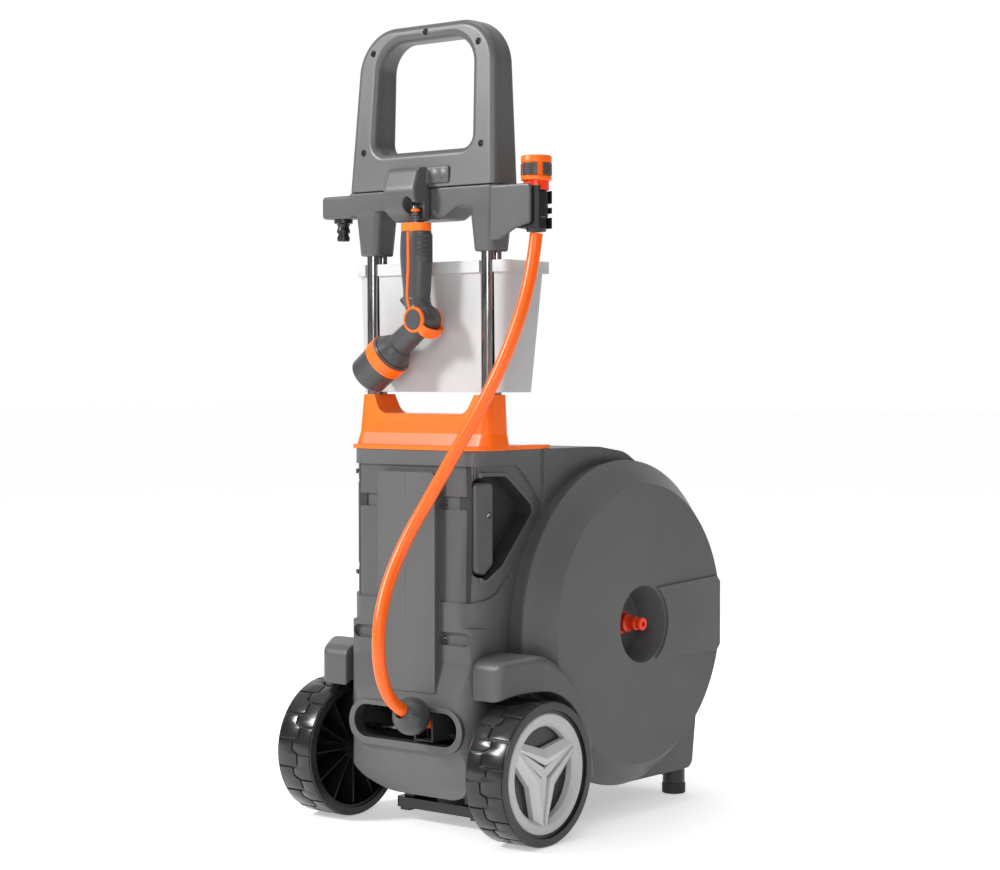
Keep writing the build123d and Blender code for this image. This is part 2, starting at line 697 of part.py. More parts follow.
# ---- hose guide ---------------------------------------------------------
GUIDE_RODS = [(-12.0, 122.0), (-12.0, 150.0)]


def guide_rods():
    rods = [rod_x(4, -102, 102, y, z) for y, z in GUIDE_RODS]
    return merged(rods)


def guide_carriage():
    cheeks = [box(x - 1.5, x + 1.5, -46, -4, 117.4, 153.4) for x in (GUIDE_X - 14, GUIDE_X + 14)]
    foot = box(GUIDE_X - 15.5, GUIDE_X + 15.5, -46, -4, 117.4, 119.4)
    head = box(GUIDE_X - 15.5, GUIDE_X + 15.5, -20, -4, 153.4, 160)
    carriage = merged(cheeks + [foot, head])
    for y, z in GUIDE_RODS:
        sleeve = rod_x(6.5, GUIDE_X - 15.5, GUIDE_X + 15.5, y, z)
        carriage = carriage + sleeve - rod_x(4.06, -102, 102, y, z)
    return carriage


def guide_rollers():
    """Two small upright rollers that the hose runs between."""
    rollers = [rod_z(2.0, x, -26, 119.4, 153.4) for x in (GUIDE_X - 10.4, GUIDE_X + 10.4)]
    return merged(rollers)


# ---- bin ----------------------------------------------------------------
def bin_body(inset):
    top = Pos(0, 37.5) * RectangleRounded(2 * (122.0 - inset), 85 - 2 * inset, 14)
    low = Pos(0, 28.5) * RectangleRounded(2 * (118.0 - inset), 63 - 2 * inset, 14)
    body = loft([Pos(0, 0, BIN_BOTTOM + inset) * low, Pos(0, 0, BIN_RIM_TOP) * top])
    channels = merged([box(s * 94 - 10.5 - inset, s * 94 + 10.5 + inset, -30, 24 + inset, 500, 760)
                       for s in (-1, 1)])
    return body - channels


def tool_bin():
    rim_plan = Pos(0, 38) * RectangleRounded(250, 92, 9)
    rim_band = prism_z(rim_plan, BIN_RIM_TOP - 14.6, BIN_RIM_TOP)
    rim_band = rim_band - merged([box(s * 94 - 10.5, s * 94 + 10.5, -30, 24, 500, 760) for s in (-1, 1)])
    return bin_body(0.0) + rim_band - bin_body(2.5)


# ---- spray gun ----------------------------------------------------------
ELBOW_R = 21.0
SPIGOT_R = 12.0
LEVER_IN, LEVER_OUT = 23.2, 28.5


def turned_on_barrel(profile):
    """Solid of revolution on the barrel axis, from (radius, distance) points."""
    x, z = BARREL_START
    face = Plane.XZ * make_face(Polyline(*profile, close=True))
    return Pos(x, GUN_Y, z) * Rot(0, -90 - BARREL_DROP, 0) * revolve(face, Axis.Z)


def gun_nipple():
    profile = [(3.5, 755), (10.5, 755), (10.5, 756.5), (6.2, 759), (6.2, 768), (5, 769), (5, 772), (6.2, 773),
               (6.2, 776), (5.4, 778), (3.5, 778)]
    return turned_z(profile, GUN_X, GUN_Y)


def gun_collar():
    return prism_z(Pos(GUN_X + 1, GUN_Y) * Ellipse(20.5, 16), 745, 755)


def gun_handle():
    sections = [(8, 745, 21, 15.5), (8, 728, 22, 16.5), (8, 705, 21.5, 16.5), (9, 680, 19, 16), (8.5, 662, 17.5, 15)]
    grip = loft([Pos(x, GUN_Y, z) * Ellipse(a, b) for x, z, a, b in sections])
    neck = loft([Pos(8.5, GUN_Y, 662) * Ellipse(17.5, 15), Pos(PIVOT[0] - 2, GUN_Y, PIVOT[1]) * Ellipse(19, 15)])
    x, z = PIVOT
    elbow = Pos(x, GUN_Y, z) * Sphere(ELBOW_R) + rod_y(16.5, GUN_Y - 15.5, GUN_Y + 15.5, x, z)
    bump = prism_y(outline([(-5, 668), (-17, 661), (-5, 650)], [0, 2.5, 0]), GUN_Y - 5, GUN_Y + 5)
    body = grip + neck + elbow + bump
    body = body - box(-60, 80, GUN_Y - 30, GUN_Y - 15.5, 600, 657) - box(-60, 80, GUN_Y + 15.5, GUN_Y + 30, 600, 657)
    return body - turned_on_barrel([(0, -6), (16.2, -6), (16.2, 60), (0, 60)])


def gun_barrel():
    return turned_on_barrel([
        (0, -5.8), (15.4, -5.8), (15.4, 20), (16, 44), (15, 45), (15, 47), (17, 49), (20.5, 55), (24.5, 63),
        (SPIGOT_R, 63), (SPIGOT_R, 80), (0, 80)])


def gun_head():
    return turned_on_barrel([
        (SPIGOT_R + RUNNING_GAP, 63.5), (25.5, 63.5), (26.5, 66), (28, 67), (28, 82), (26.5, 83), (25.5, 113),
        (24, 115), (22, 115), (21, 108), (0, 106), (0, 81), (SPIGOT_R + RUNNING_GAP, 81)])


def gun_lever():
    """Flow lever: a ring on each side of the elbow, joined by a strap round it."""
    x, z = PIVOT
    wedge = prism_y(outline([(0, 0), (50, -22), (50, 20)], 0.0), GUN_Y - 20, GUN_Y + 20)
    wedge = Pos(x, 0, z) * Rot(0, 44, 0) * wedge
    parts = [(rod_y(LEVER_OUT, GUN_Y - 19, GUN_Y + 19, x, z) - rod_y(LEVER_IN, GUN_Y - 20, GUN_Y + 20, x, z)) & wedge]
    for y0, y1 in ((GUN_Y - 19, GUN_Y - 16), (GUN_Y + 16, GUN_Y + 19)):
        plate = rod_y(15.8, y0, y1, x, z) + (rod_y(LEVER_OUT, y0, y1, x, z) & wedge)
        parts.append(plate - rod_y(12.3, y0 - 1, y1 + 1, x, z))
    return merged(parts)


def gun_pivot():
    """Flat cap on each side of the gun, which the lever turns on."""
    return rod_y(12, GUN_Y - 19.5, GUN_Y - 15.6, *PIVOT) + rod_y(12, GUN_Y + 15.6, GUN_Y + 19.5, *PIVOT)


def gun_grip():
    """Soft insert on the right of the gun's handle."""
    shell = loft([Pos(9.5, GUN_Y, 742) * Ellipse(21.5, 15), Pos(9.5, GUN_Y, 705) * Ellipse(21.5, 15.5)])
    return (shell & box(18, 40, -80, 0, 706, 741)) - gun_handle()


# ---- all nodes ----------------------------------------------------------
def build_nodes():
    nodes = {}
    nodes["left_shell"], nodes["right_shell"] = housing_shells()
    cover = drum_cover()
    nodes["right_drum_cover"], nodes["left_drum_cover"] = cover, flipped(cover)
    arch = fender()
    nodes["right_fender"], nodes["left_fender"] = arch, flipped(arch)
    bar = grip_bar()
    nodes["right_grip_bar"], nodes["left_grip_bar"] = bar, flipped(bar)
    nodes["slot_bezel"] = slot_bezel()
    nodes["bottom_plate"] = bottom_plate()
    nodes["rear_feet"] = rear_feet()
    nodes["rubber_feet"] = rubber_feet()
    nodes["screws"] = column_screws() + handle_screws()
    nodes["handle_base"] = handle_base()
    for side, sign in (("left", -1), ("right", 1)):
        nodes[side + "_front_tube"] = tube(FRONT_TUBE, sign, 6.5)
        nodes[side + "_rear_tube"] = tube(REAR_TUBE, sign, 4.5)
    nodes["handle_front_shell"], nodes["handle_rear_shell"] = handle_shells()
    nodes["handle_yoke"] = yoke()
    nodes["gun_boss"] = gun_boss()
    nodes["parking_nipple"] = parking_nipple()
    nodes["hose_clip"] = hose_clip()
    nodes["supply_hose"] = supply_hose()
    nodes["ball_stopper"] = ball_stopper()
    nodes["connector_body"] = connector_body()
    nodes["connector_ring"] = connector_ring()
    nodes["connector_sleeve"] = connector_sleeve()
    for name, maker in (("tyre", tyre), ("rim", rim), ("trim", wheel_trim)):
        piece = maker()
        nodes["right_" + name], nodes["left_" + name] = piece, flipped(piece)
    nodes["wheel_axle"] = rod_x(AXLE_R, -AXLE_HALF, AXLE_HALF, 0, WHEEL_R)
    nodes["wheel_clips"] = wheel_clips()
    nodes["water_shaft"] = water_shaft()
    nodes["reel_core"] = reel_core()
    flange = reel_flange()
    nodes["reel_right_flange"], nodes["reel_left_flange"] = flange, flipped(flange)
    nodes["hose_pack"] = hose_pack()
    nodes["rewind_spring"] = rewind_spring()
    nodes["ratchet_ring"] = ratchet_ring()
    nodes["ratchet_pawl"] = ratchet_pawl()
    nodes["pawl_pin"] = pawl_pin()
    nodes["left_hub_cap"] = hub_cap()
    nodes["inlet_nipple"] = inlet_nipple()
    nodes["guide_rods"] = guide_rods()
    nodes["guide_carriage"] = guide_carriage()
    nodes["guide_rollers"] = guide_rollers()
    nodes["tool_bin"] = tool_bin()
    nodes["gun_nipple"] = gun_nipple()
    nodes["gun_collar"] = gun_collar()
    nodes["gun_handle"] = gun_handle()
    nodes["gun_grip"] = gun_grip()
    nodes["gun_barrel"] = gun_barrel()
    nodes["gun_head"] = gun_head()
    nodes["gun_lever"] = gun_lever()
    nodes["gun_pivot"] = gun_pivot()
    return nodes


def main():
    os.makedirs("parts", exist_ok=True)
    nodes = build_nodes()
    for name, shape in nodes.items():
        export_step(Pos(0, -DEPTH_CENTRE, 0) * shape, f"parts/{name}.step")
    print(len(nodes), "nodes")


main()
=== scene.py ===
"""Looks of the hose reel cart: materials, finer meshes, the free hose and the studio."""
import json
import math

import bmesh
import bpy
from mathutils import Matrix, Vector


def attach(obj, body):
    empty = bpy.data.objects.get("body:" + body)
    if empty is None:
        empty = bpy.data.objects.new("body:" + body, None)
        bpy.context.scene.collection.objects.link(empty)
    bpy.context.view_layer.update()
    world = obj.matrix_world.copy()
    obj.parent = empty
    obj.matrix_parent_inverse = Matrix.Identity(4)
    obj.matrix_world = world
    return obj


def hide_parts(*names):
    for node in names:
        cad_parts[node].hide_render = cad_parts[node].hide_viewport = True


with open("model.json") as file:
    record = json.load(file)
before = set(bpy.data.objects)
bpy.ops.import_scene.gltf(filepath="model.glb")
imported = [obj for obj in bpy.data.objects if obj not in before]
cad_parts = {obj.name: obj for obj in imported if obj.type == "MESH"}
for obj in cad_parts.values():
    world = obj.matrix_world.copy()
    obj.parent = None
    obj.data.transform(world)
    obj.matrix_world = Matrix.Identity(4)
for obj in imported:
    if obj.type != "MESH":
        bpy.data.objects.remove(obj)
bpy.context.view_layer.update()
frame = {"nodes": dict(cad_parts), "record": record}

NODES = frame["nodes"]

SHIFT = 0.179  # the row frame starts this far behind the wheel axle, in metres
MM = 0.001
SIDES = ((1, "right"), (-1, "left"))
AXLE_Z = 88.0
STAR_TURN = 177.0  # degrees the three-armed wheel cover is turned in the photo
DIM = 0.10  # brightness of the surroundings away from the white backdrop
SCREW_SPOT = (0, -6, 397)
GUN_Y = -38.0
ELBOW = (19, GUN_Y, 636)  # where the barrel turns away from the gun's handle


def at(x, y, z):
    """Millimetres from the wheel axle's centre line to metres in the row frame."""
    return Vector((x * MM, y * MM - SHIFT, z * MM))


# ---- node materials ------------------------------------------------------
def shader_base(name, rough, metallic=0.0, coat=0.0, specular=0.5):
    mat = bpy.data.materials.new(name)
    mat.use_nodes = True
    tree = mat.node_tree
    bsdf = tree.nodes["Principled BSDF"]
    bsdf.inputs["Roughness"].default_value = rough
    bsdf.inputs["Metallic"].default_value = metallic
    bsdf.inputs["Coat Weight"].default_value = coat
    bsdf.inputs["Specular IOR Level"].default_value = specular
    return mat, tree, bsdf


def noise(tree, scale, detail=3.0, stretch=(1, 1, 1)):
    coord = tree.nodes.new("ShaderNodeTexCoord")
    mapping = tree.nodes.new("ShaderNodeMapping")
    mapping.inputs["Scale"].default_value = stretch
    tex = tree.nodes.new("ShaderNodeTexNoise")
    tex.inputs["Scale"].default_value = scale
    tex.inputs["Detail"].default_value = detail
    tree.links.new(coord.outputs["Object"], mapping.inputs["Vector"])
    tree.links.new(mapping.outputs["Vector"], tex.inputs["Vector"])
    return tex.outputs["Fac"]


def ramp(tree, fac, low, high, start=0.3, end=0.7):
    node = tree.nodes.new("ShaderNodeValToRGB")
    node.color_ramp.elements[0].position = start
    node.color_ramp.elements[1].position = end
    node.color_ramp.elements[0].color = (*low, 1)
    node.color_ramp.elements[1].color = (*high, 1)
    tree.links.new(fac, node.inputs["Fac"])
    return node.outputs["Color"]


def bump(tree, bsdf, height, strength, distance, edge=0.0):
    node = tree.nodes.new("ShaderNodeBump")
    node.inputs["Strength"].default_value = strength
    node.inputs["Distance"].default_value = distance
    tree.links.new(height, node.inputs["Height"])
    if edge:
        bevel = tree.nodes.new("ShaderNodeBevel")
        bevel.samples = 4
        bevel.inputs["Radius"].default_value = edge
        tree.links.new(bevel.outputs["Normal"], node.inputs["Normal"])
    tree.links.new(node.outputs["Normal"], bsdf.inputs["Normal"])


def shade(color, factor):
    return tuple(min(1.0, c * factor) for c in color)


def plastic(name, color, rough, grain=1400.0, depth=0.00006, edge=0.0, coat=0.0, spread=0.07):
    """Moulded plastic: fine grain, slow colour drift, paler worn edges and uneven gloss."""
    mat, tree, bsdf = shader_base(name, rough, coat=coat)
    drift = ramp(tree, noise(tree, 9.0), shade(color, 1 - spread), shade(color, 1 + spread))
    geometry = tree.nodes.new("ShaderNodeNewGeometry")
    worn = ramp(tree, geometry.outputs["Pointiness"], (0, 0, 0), (1, 1, 1), 0.52, 0.62)
    mix = tree.nodes.new("ShaderNodeMix")
    mix.data_type = "RGBA"
    tree.links.new(worn, mix.inputs["Factor"])
    tree.links.new(drift, mix.inputs[6])
    mix.inputs[7].default_value = (*shade(color, 1.25), 1)
    tree.links.new(mix.outputs[2], bsdf.inputs["Base Color"])
    gloss = tree.nodes.new("ShaderNodeMapRange")
    gloss.inputs["To Min"].default_value = max(0.05, rough - 0.06)
    gloss.inputs["To Max"].default_value = min(1.0, rough + 0.08)
    tree.links.new(noise(tree, 22.0, 4.0), gloss.inputs["Value"])
    tree.links.new(gloss.outputs["Result"], bsdf.inputs["Roughness"])
    bump(tree, bsdf, noise(tree, grain, 2.0), 0.5, depth, edge)
    return mat


def metal(name, color, rough, stretch=(1, 1, 1), scale=300.0, streak=0.25):
    mat, tree, bsdf = shader_base(name, rough, metallic=1.0)
    lines = noise(tree, scale, 4.0, stretch)
    color_out = ramp(tree, lines, shade(color, 1 - streak), shade(color, 1 + streak), 0.35, 0.65)
    tree.links.new(color_out, bsdf.inputs["Base Color"])
    gloss = tree.nodes.new("ShaderNodeMapRange")
    gloss.inputs["To Min"].default_value = rough * 0.7
    gloss.inputs["To Max"].default_value = rough * 1.4
    tree.links.new(lines, gloss.inputs["Value"])
    tree.links.new(gloss.outputs["Result"], bsdf.inputs["Roughness"])
    bump(tree, bsdf, lines, 0.3, 0.00002)
    return mat


BODY = (0.078, 0.078, 0.079)
ORANGE = (0.93, 0.13, 0.0)
PLASTICS = {
    "body_grey": (BODY, 0.42, {"edge": 0.0012}),
    "handle_grey": (shade(BODY, 1.05), 0.38, {"edge": 0.0012}),
    "gun_grey": ((0.05, 0.051, 0.053), 0.34, {"edge": 0.0006}),
    "dark_plastic": ((0.009, 0.009, 0.0095), 0.3, {"edge": 0.0006}),
    "orange_plastic": (ORANGE, 0.38, {"edge": 0.0015, "spread": 0.03}),
    "bin_grey": ((0.45, 0.45, 0.45), 0.5, {"edge": 0.001, "spread": 0.03}),
    "trim_grey": ((0.43, 0.43, 0.435), 0.38, {"edge": 0.0005, "spread": 0.04}),
    "tyre_black": ((0.013, 0.013, 0.013), 0.24, {"grain": 900, "depth": 0.0001, "edge": 0.0007}),
    "hose_orange": ((0.93, 0.12, 0.002), 0.34, {"grain": 2200, "spread": 0.03}),
    "soft_black": ((0.012, 0.012, 0.012), 0.6, {"grain": 1200}),
    "soft_grey": ((0.04, 0.041, 0.042), 0.55, {"grain": 1600, "depth": 0.0001}),
    # Near-black; also laid below on pocket, slot and boss-pocket faces as painted shade.
    "inner_plastic": ((0.02, 0.02, 0.02), 0.6, {}),
    "connector_red": ((0.75, 0.035, 0.006), 0.3, {"edge": 0.0004, "spread": 0.03}),
}
METALS = {
    "steel": ((0.5, 0.5, 0.52), 0.25, {}),
    "steel_dark": ((0.14, 0.145, 0.15), 0.28, {}),
    "tube_chrome": ((0.34, 0.345, 0.35), 0.17, {"stretch": (1, 1, 0.12), "scale": 240.0}),
    "brass": ((0.7, 0.5, 0.2), 0.3, {}),
}
MATS = {name: plastic(name, color, rough, **more) for name, (color, rough, more) in PLASTICS.items()}
for name, (color, rough, more) in METALS.items():
    MATS[name] = metal(name, color, rough, **more)
SLOTS = {part["node"]: part["material_slot"] for part in frame["record"]["subparts"]}
LOOKS = {
    "handle_front_shell": "handle_grey",
    "handle_rear_shell": "handle_grey",
    "handle_yoke": "handle_grey",
    "gun_boss": "handle_grey",
    "ball_stopper": "gun_grey",
    "slot_bezel": "body_grey",
    "gun_handle": "gun_grey",
    "gun_barrel": "gun_grey",
    "gun_head": "gun_grey",
    "gun_pivot": "gun_grey",
    "gun_grip": "soft_grey",
    "gun_nipple": "gun_grey",
    "gun_collar": "orange_plastic",
    "connector_sleeve": "orange_plastic",
}


def finish(obj, name):
    obj.data.materials.clear()
    obj.data.materials.append(MATS[name])


def paint(node, name, test):
    """Gives another material to the faces of a CAD node whose middles pass the test, in mm."""
    obj = NODES[node]
    obj.data.materials.append(MATS[name])
    last = len(obj.data.materials) - 1
    for face in obj.data.polygons:
        centre = obj.matrix_world @ face.center
        if test(centre.x / MM, (centre.y + SHIFT) / MM, centre.z / MM):
            face.material_index = last


def soften(node, voxel, rounds):
    """Rounds a moulded piece's edges without touching its own mesh."""
    obj = NODES[node]
    remesh = obj.modifiers.new("remesh", "REMESH")
    remesh.mode = "VOXEL"
    remesh.voxel_size = voxel
    remesh.use_smooth_shade = True
    smooth = obj.modifiers.new("smooth", "SMOOTH")
    smooth.factor = 0.5
    smooth.iterations = rounds


for node, obj in NODES.items():
    finish(obj, LOOKS.get(node, SLOTS[node]))

BARREL_START = Vector((20.0, GUN_Y, 634.0))
BARREL_TILT = math.radians(36)
BARREL_AXIS = Vector((-math.cos(BARREL_TILT), 0, -math.sin(BARREL_TILT)))


def on_head_ring(x, y, z):
    along = (Vector((x, y, z)) - BARREL_START).dot(BARREL_AXIS)
    off = (Vector((x, y, z)) - BARREL_START - along * BARREL_AXIS).length
    return 66.4 < along < 82.6 and off > 25.8


paint("gun_head", "orange_plastic", on_head_ring)


# Painted shade: faces inside the grip pockets of both shells get the near-black inner_plastic, standing in
# for the shade deep in the pockets.
def in_shaded_pocket(x, y, z):
    return 74 < abs(x) < 100.4 and -36 < y < 80 and 315 < z < 448


for node in ("left_shell", "right_shell"):
    paint(node, "inner_plastic", in_shaded_pocket)
# Painted shade: the slot bezel's faces behind its front get the near-black inner_plastic, standing in for
# the shade inside the slot.
paint("slot_bezel", "inner_plastic", lambda x, y, z: y > -48.5)
for node in ("handle_yoke", "gun_boss", "left_fender", "right_fender"):
    soften(node, 0.0012, 14)
soften("gun_handle", 0.0008, 5)


# ---- mesh helpers --------------------------------------------------------
def piece(name, mesh, look, body, nodes=()):
    """A finer visible piece, riding on a CAD body and standing for the named nodes."""
    obj = bpy.data.objects.new(name, mesh)
    bpy.context.collection.objects.link(obj)
    finish(obj, look)
    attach(obj, body)
    if nodes:
        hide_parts(*nodes)
    return obj


def to_mesh(bm, name, angle=32.0):
    bmesh.ops.recalc_face_normals(bm, faces=bm.faces)
    mesh = bpy.data.meshes.new(name)
    bm.to_mesh(mesh)
    bm.free()
    mesh.shade_smooth()
    mesh.set_sharp_from_angle(angle=math.radians(angle))
    return mesh


def lathe(bm, profile, frame_matrix, steps=96):
    """Closed ring of revolution about the local Z axis, from (radius, height) points."""
    rings = []
    for i in range(steps):
        turn = Matrix.Rotation(2 * math.pi * i / steps, 4, "Z")
        rings.append([bm.verts.new(frame_matrix @ turn @ Vector((r, 0, h))) for r, h in profile])
    count = len(profile)
    for i in range(steps):
        here, after = rings[i], rings[(i + 1) % steps]
        for j in range(count):
            k = (j + 1) % count
            bm.faces.new((here[j], here[k], after[k], after[j]))


def outward_frame(origin, side):
    """Millimetres at a point, with local Z pointing out to one side."""
    place = Matrix.Translation(origin) @ Matrix.Diagonal((side, 1, 1, 1))
    return place @ Matrix.Rotation(math.radians(90), 4, "Y") @ Matrix.Scale(MM, 4)


def wheel_frame(side):
    """Local Z along the axle, pointing outwards."""
    return outward_frame(at(0, 0, AXLE_Z), side)


# ---- wheels --------------------------------------------------------------
TREAD_STEP = 22.5
TREAD_IN = [(2.2, 0.9), (22, 0.9), (22, 9.8), (30.8, 12.8), (30.8, 18.2), (22.4, 21.6), (2.2, 21.6)]
TREAD_OUT = [(55.4, 12.2), (34.2, 12.2), (33.2, 13.2), (33.2, 19.4), (24.6, 22.9), (24.6, 31.4), (29, 32.9),
             (55.4, 32.9)]
BASE_R, TREAD_R = 85.8, 88.0
TYRE_IN = 127.0  # distance from the cart's middle to the tyre's inner side
COVER_BACK, COVER_FACE = 168, 178.6
TREAD_BLOCKS = 16


def tread_block(bm, outline, side):
    """One block, drawn flat as (distance across, degrees round) and wrapped on the tyre."""
    flat = bmesh.new()
    low = [flat.verts.new((x, a, BASE_R - 1.5)) for x, a in outline]
    top = flat.faces.new(low)
    grown = bmesh.ops.extrude_face_region(flat, geom=[top])
    raised = [v for v in grown["geom"] if isinstance(v, bmesh.types.BMVert)]
    for v in raised:
        v.co.z = TREAD_R
    lift = [e for e in flat.edges if all(v.co.z > BASE_R for v in e.verts)]
    bmesh.ops.bevel(flat, geom=lift, offset=0.5, segments=2, affect="EDGES", profile=0.5)
    for step in range(0, 36, 2):
        geom = flat.verts[:] + flat.edges[:] + flat.faces[:]
        bmesh.ops.bisect_plane(flat, geom=geom, plane_co=(0, step, 0), plane_no=(0, 1, 0))
    bmesh.ops.triangulate(flat, faces=[f for f in flat.faces if len(f.verts) > 4])
    matrix = wheel_frame(side)
    for i in range(TREAD_BLOCKS):
        made = {}
        for v in flat.verts:
            angle = math.radians(v.co.y + i * TREAD_STEP)
            spot = Vector((v.co.z * math.cos(angle), v.co.z * math.sin(angle), TYRE_IN + v.co.x))
            made[v.index] = bm.verts.new(matrix @ spot)
        for f in flat.faces:
            bm.faces.new([made[v.index] for v in f.verts])
    flat.free()


def tyre(side, label):
    bm = bmesh.new()
    carcass = [(77.2, TYRE_IN), (86.4, TYRE_IN), (87.2, 127.8), (87.2, 128.6), (BASE_R, 129.4),
               (BASE_R, 182.2), (87.2, 183), (87.2, 184.2), (86.6, 184.9), (85.2, 185), (77.2, 185)]
    lathe(bm, carcass, wheel_frame(side), 128)
    for outline in (TREAD_IN, TREAD_OUT):
        tread_block(bm, outline, side)
    piece(label + "_tyre_mesh", to_mesh(bm, label + "_tyre_mesh"), "tyre_black",
          label + "_wheel", [label + "_tyre"])


def star_sector(bm, matrix, middle):
    """One of the three faceted chevrons of the wheel cover, with half of each groove beside it."""
    def spot(radius, angle, height):
        turn = math.radians(middle + angle)
        flat = (radius * math.cos(turn), radius * math.sin(turn))
        return bm.verts.new(matrix @ Vector((*flat, height)))

    rows = []
    for outer, ridge, inner in (
            ((58.8, 47), (61.5, 57.2), (61.5, 58.6)),
            ((29.5, 0), (18.5, 0), (10.5, 0)),
            ((58.8, -47), (61.5, -57.2), (61.5, -58.6))):
        rows.append([
            spot(*outer, COVER_BACK), spot(*outer, 175.5), spot(*ridge, 182.6),
            spot(*inner, 181.4), spot(*inner, COVER_FACE), spot(*inner, COVER_BACK),
        ])
    for here, after in zip(rows, rows[1:]):
        for j in range(6):
            k = (j + 1) % 6
            bm.faces.new((here[j], here[k], after[k], after[j]))
    for end in (rows[0], rows[-1]):
        bm.faces.new(end)


def trim(side, label):
    bm = bmesh.new()
    matrix = wheel_frame(side)
    ring = [(57, COVER_BACK), (57.3, 176.5), (58.6, 178.2), (61.5, 181.8), (62.6, 182.3), (71.4, 182.3),
            (73.2, 181.3), (73.8, 179.8), (73.8, COVER_BACK)]
    lathe(bm, ring, matrix, 128)
    lathe(bm, [(0.4, COVER_BACK), (11.5, COVER_BACK), (11.5, 178.8), (0.4, 178.8)], matrix, 3)
    for k in range(3):
        star_sector(bm, matrix, STAR_TURN + 120 * k)
        turn = math.radians(STAR_TURN + 60 + 120 * k)
        along = Vector((math.cos(turn), math.sin(turn), 0))
        across = Vector((-math.sin(turn), math.cos(turn), 0))
        corners = []
        for far, half in ((0.0, 6.0), (60.5, 2.2)):
            for sign in (-1, 1):
                corners.append(along * far + across * half * sign)
        low = [bm.verts.new(matrix @ (c + Vector((0, 0, COVER_BACK)))) for c in corners]
        high = [bm.verts.new(matrix @ (c + Vector((0, 0, COVER_FACE)))) for c in corners]
        bm.faces.new([high[i] for i in (0, 1, 3, 2)])
        bm.faces.new([low[i] for i in (2, 3, 1, 0)])
        for p, q in ((0, 1), (1, 3), (3, 2), (2, 0)):
            bm.faces.new((low[p], low[q], high[q], high[p]))
    piece(label + "_trim_mesh", to_mesh(bm, label + "_trim_mesh", 12.0), "trim_grey",
          label + "_wheel", [label + "_trim"])


for side, label in SIDES:
    tyre(side, label)
    trim(side, label)


def smooth_curve(name, points, radius):
    curve = bpy.data.curves.new(name, "CURVE")
    curve.dimensions = "3D"
    spline = curve.splines.new("NURBS")
    spline.points.add(len(points) - 1)
    for point, xyz in zip(spline.points, points):
        point.co = (*xyz, 1.0)
    spline.order_u = 3
    spline.use_endpoint_u = True
    spline.resolution_u = 12
    curve.bevel_depth = radius
    curve.bevel_resolution = 8
    curve.use_fill_caps = True
    obj = bpy.data.objects.new(name, curve)
    bpy.context.collection.objects.link(obj)
    return obj


def small_screw(label, side):
    """Domed screw with a cross recess, in the grip bar."""
    bm = bmesh.new()
    place = outward_frame(at(*SCREW_SPOT), side)
    lathe(bm, [(1.2, 93.6), (3.9, 93.6), (3.9, 95.2), (3.2, 96.4), (2.0, 97.0), (1.2, 96.2)], place, 40)
    for turn in (0, 90):
        spin = place @ Matrix.Rotation(math.radians(turn), 4, "Z")
        corners = [bm.verts.new(spin @ Vector((x, y, z))) for z in (94.0, 95.4) for x, y in (
            (-1.6, -0.4), (1.6, -0.4), (1.6, 0.4), (-1.6, 0.4))]
        for quad in ((3, 2, 1, 0), (4, 5, 6, 7), (0, 1, 5, 4), (1, 2, 6, 5), (2, 3, 7, 6),
                     (3, 0, 4, 7)):
            bm.faces.new([corners[i] for i in quad])
    piece(label + "_grip_screw", to_mesh(bm, label + "_grip_screw"), "steel", "chassis")


for side, label in SIDES:
    small_screw(label, side)


# ---- spray gun details ---------------------------------------------------
def rod(name, points, radius, look, body):
    """Smooth rounded line through points given in working millimetres."""
    obj = smooth_curve(name, [at(*p) for p in points], radius)
    finish(obj, look)
    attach(obj, body)
    return obj


GUN_LINE = [(8.7, -53.2, 744), (9.2, -54.2, 728), (9.8, -54.2, 705), (8.0, -53.6, 685),
            (6.4, -52.8, 668), (6.6, -52.4, 659), (10.5, -52.8, 650)]
BACK_LINE = [(x, 2 * GUN_Y - y, z) for x, y, z in GUN_LINE]
for name, line in (("gun_line_front", GUN_LINE), ("gun_line_back", BACK_LINE)):
    rod(name, line, 0.0021, "orange_plastic", "gun")
for i in range(5):
    ridge = []
    for turn in (-68, -50, -32, -14):
        t = math.radians(turn)
        ridge.append((9.5 + 21.9 * math.cos(t), GUN_Y + 15.9 * math.sin(t), 738.5 - 5.6 * i))
    rod("grip_ridge_%d" % (i + 1), ridge, 0.0015, "soft_grey", "gun")
bm = bmesh.new()
neck = Matrix.Translation(at(8.5, GUN_Y, 662)) @ Matrix.Diagonal((1, 0.86, 1, 1))
neck = neck @ Matrix.Scale(MM, 4)
lathe(bm, [(16, -1.2), (18.2, -1.2), (18.6, 0), (18.2, 1.2), (16, 1.2)], neck, 64)
piece("gun_neck_ring", to_mesh(bm, "gun_neck_ring"), "gun_grey", "gun")

NIPPLE = Matrix.Translation(at(7, GUN_Y, 0)) @ Matrix.Scale(MM, 4)
bm = bmesh.new()
lathe(bm, [(3.2, 755), (10.5, 755), (10.5, 756.6), (8.6, 758.4), (8.8, 760.4), (7.2, 761.6),
           (7.4, 763.8), (5.8, 765), (6, 767), (4.4, 768.4), (4.4, 773), (5, 774), (4.6, 776.4),
           (3.2, 777)], NIPPLE, 64)
piece("gun_nipple_mesh", to_mesh(bm, "gun_nipple_mesh"), "steel_dark", "gun",
      ["gun_nipple"])
bm = bmesh.new()
lathe(bm, [(4.2, 769), (5.5, 769.6), (5.7, 771), (5.5, 772.4), (4.2, 773)], NIPPLE, 64)
piece("gun_nipple_seal", to_mesh(bm, "gun_nipple_seal"), "orange_plastic", "gun")
